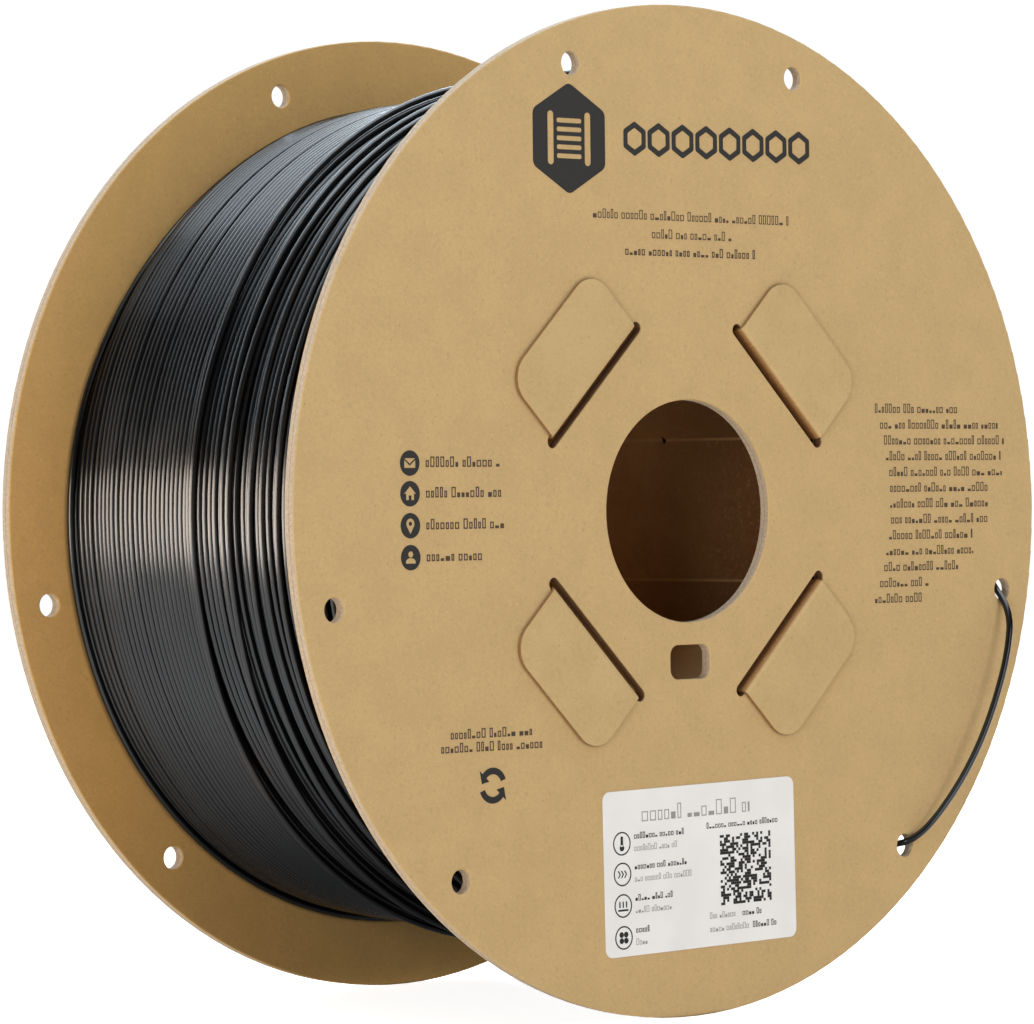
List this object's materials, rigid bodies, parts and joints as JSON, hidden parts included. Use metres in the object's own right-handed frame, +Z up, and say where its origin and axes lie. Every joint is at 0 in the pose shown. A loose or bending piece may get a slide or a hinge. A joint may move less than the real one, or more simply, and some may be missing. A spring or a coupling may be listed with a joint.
{
  "type": "filament spool",
  "caption": "Full cardboard filament spool: laminated kraft flanges on a folded eight-sided core with tabs through slots, wound with glossy black filament, its end parked in the rim holes.",
  "frame": {"origin": "centre of the bore, half way between the two flanges", "axes": "+Y along the bore, from the labelled flange to the plain one; +Z up; +X to the right as one faces the label"},
  "size_m": [0.25, 0.1239, 0.25],
  "materials": {
    "printed_kraft_liner": "matte kraft liner printed in dark grey",
    "kraft_liner": "matte kraft liner",
    "grey_board": "matte, cut edge with visible fibres",
    "core_board": "matte solid board, creased",
    "glue": "dried glue film",
    "filament": "glossy extruded PETG",
    "label_paper": "semi-matte white label printed in dark grey"
  },
  "bodies": {
    "root": {"front_outer_liner": "printed_kraft_liner", "front_outer_ply": "grey_board", "front_inner_ply": "grey_board", "front_inner_liner": "kraft_liner", "back_outer_liner": "kraft_liner", "back_outer_ply": "grey_board", "back_inner_ply": "grey_board", "back_inner_liner": "kraft_liner", "core_strip": "core_board", "core_lap_glue": "glue", "front_tab_glue": "glue", "back_tab_glue": "glue", "filament_winding": "filament", "filament_start": "filament", "filament_end": "filament", "label_sticker": "label_paper"}
  },
  "joints": []
}
